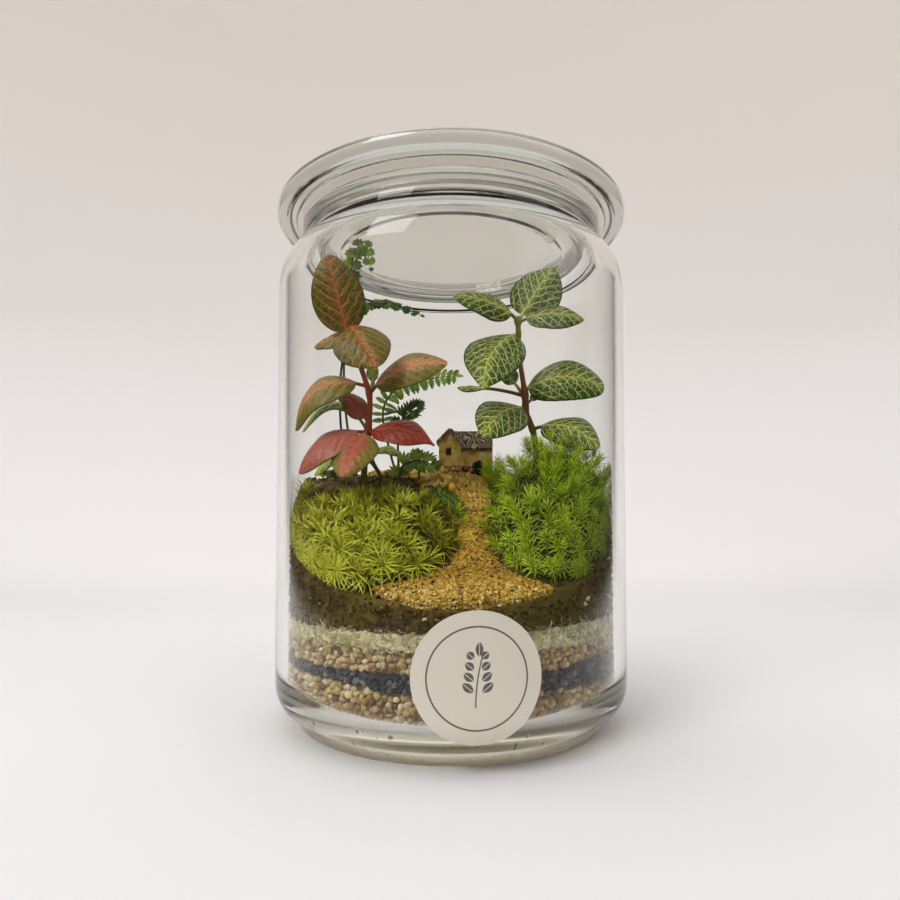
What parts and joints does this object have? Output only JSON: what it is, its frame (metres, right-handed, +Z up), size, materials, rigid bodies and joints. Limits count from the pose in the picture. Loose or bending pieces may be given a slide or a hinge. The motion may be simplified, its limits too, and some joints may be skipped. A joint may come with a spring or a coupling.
{
  "type": "planted glass terrarium jar",
  "caption": "Lidded glass jar terrarium with red and white veined plants, fern, bushy moss, a sand path, a cast cottage and layered gravel.",
  "frame": {"origin": "on the jar's axis, at the height of the foot ring's bottom, where the jar stands", "axes": "+Z up along the jar axis, -Y towards the side with the sticker, +X to the right of that side"},
  "size_m": [0.1024, 0.1024, 0.1472],
  "materials": {
    "jar_glass": "clear pressed glass, polished",
    "lid_clear": "clear moulded lid, polished",
    "gasket": "translucent soft seal",
    "sticker": "matt off-white paper",
    "gravel_tan": "rough tan gravel",
    "grit_black": "black charcoal grit",
    "dry_moss": "pale dry sphagnum moss",
    "soil": "damp dark potting soil",
    "sand": "coarse golden sand",
    "pebbles": "yellow pebbles",
    "house_resin": "cast and hand-painted, matt",
    "stone_brown": "smooth brown stone",
    "leaf_red": "soft olive and red leaf",
    "leaf_light": "soft light green leaf",
    "leaf_green": "soft green leaf with cream veins",
    "moss_olive": "olive-green bushy moss",
    "moss_green": "bright green bushy moss",
    "fern": "thin dark green fern leaf"
  },
  "bodies": {
    "root": {"jar_glass": "jar_glass", "lid": "lid_clear", "lid_gasket": "gasket", "label": "sticker", "gravel_bottom": "gravel_tan", "grit_black": "grit_black", "gravel_upper": "gravel_tan", "moss_filter": "dry_moss", "soil": "soil", "sand_path": "sand", "pebbles_hilltop": "pebbles", "house": "house_resin", "stone_large": "stone_brown", "stone_small": "stone_brown", "fittonia_red": "leaf_red", "fittonia_young": "leaf_light", "fittonia_white": "leaf_green", "moss_left": "moss_olive", "moss_right": "moss_green", "moss_tuft": "moss_olive", "fern_tall": "fern", "fern_side": "fern", "fern_long": "fern", "fern_lobed": "fern", "fern_front": "fern", "fern_upright": "fern", "fern_droop": "fern", "fern_low_left": "fern"}
  },
  "joints": []
}
